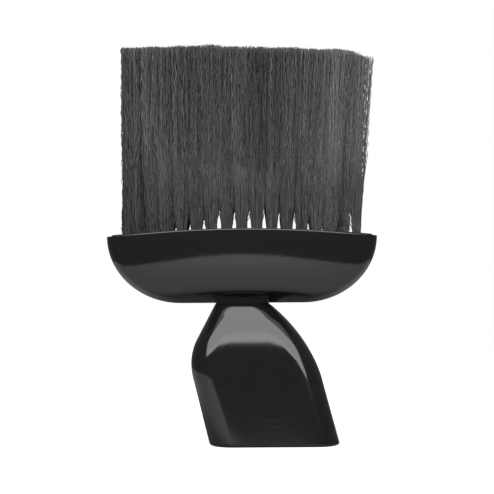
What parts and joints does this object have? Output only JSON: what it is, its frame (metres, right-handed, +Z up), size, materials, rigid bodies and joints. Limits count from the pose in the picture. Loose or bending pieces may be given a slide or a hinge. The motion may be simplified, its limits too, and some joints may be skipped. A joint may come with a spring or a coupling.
{
  "type": "neck duster brush",
  "caption": "Standing neck duster with a wide boat-shaped head, a tall flat field of charcoal bristle tufts and a slanted paddle handle with a flat foot.",
  "frame": {"origin": "on the resting face of the foot, straight below the middle of the head", "axes": "+Z up along the bristles, +X towards the side that the handle slants to, -Y the front"},
  "size_m": [0.1134, 0.033, 0.1662],
  "materials": {
    "gloss_black_shell": "gloss",
    "gloss_black_foot": "gloss",
    "moulded_black": "satin",
    "charcoal_bristle": "satin",
    "drawn_steel": "satin",
    "zinc_steel": "satin"
  },
  "bodies": {
    "root": {"head_shell": "gloss_black_shell", "tuft_block": "moulded_black", "tuft_middle_left_8": "charcoal_bristle", "tuft_middle_left_7": "charcoal_bristle", "tuft_middle_left_6": "charcoal_bristle", "tuft_middle_left_5": "charcoal_bristle", "tuft_middle_left_4": "charcoal_bristle", "tuft_middle_left_3": "charcoal_bristle", "tuft_middle_left_2": "charcoal_bristle", "tuft_middle_left_1": "charcoal_bristle", "tuft_middle_centre": "charcoal_bristle", "tuft_middle_right_1": "charcoal_bristle", "tuft_middle_right_2": "charcoal_bristle", "tuft_middle_right_3": "charcoal_bristle", "tuft_middle_right_4": "charcoal_bristle", "tuft_middle_right_5": "charcoal_bristle", "tuft_middle_right_6": "charcoal_bristle", "tuft_middle_right_7": "charcoal_bristle", "tuft_middle_right_8": "charcoal_bristle", "tuft_front_left_6": "charcoal_bristle", "tuft_front_left_5": "charcoal_bristle", "tuft_front_left_4": "charcoal_bristle", "tuft_front_left_3": "charcoal_bristle", "tuft_front_left_2": "charcoal_bristle", "tuft_front_left_1": "charcoal_bristle", "tuft_front_centre": "charcoal_bristle", "tuft_front_right_1": "charcoal_bristle", "tuft_front_right_2": "charcoal_bristle", "tuft_front_right_3": "charcoal_bristle", "tuft_front_right_4": "charcoal_bristle", "tuft_front_right_5": "charcoal_bristle", "tuft_front_right_6": "charcoal_bristle", "tuft_back_left_6": "charcoal_bristle", "tuft_back_left_5": "charcoal_bristle", "tuft_back_left_4": "charcoal_bristle", "tuft_back_left_3": "charcoal_bristle", "tuft_back_left_2": "charcoal_bristle", "tuft_back_left_1": "charcoal_bristle", "tuft_back_centre": "charcoal_bristle", "tuft_back_right_1": "charcoal_bristle", "tuft_back_right_2": "charcoal_bristle", "tuft_back_right_3": "charcoal_bristle", "tuft_back_right_4": "charcoal_bristle", "tuft_back_right_5": "charcoal_bristle", "tuft_back_right_6": "charcoal_bristle", "draw_wire_middle": "drawn_steel", "draw_wire_front": "drawn_steel", "draw_wire_back": "drawn_steel", "handle_shell": "gloss_black_shell", "base_plate": "gloss_black_foot", "clamp_washer": "zinc_steel", "clamp_screw": "zinc_steel"}
  },
  "joints": []
}
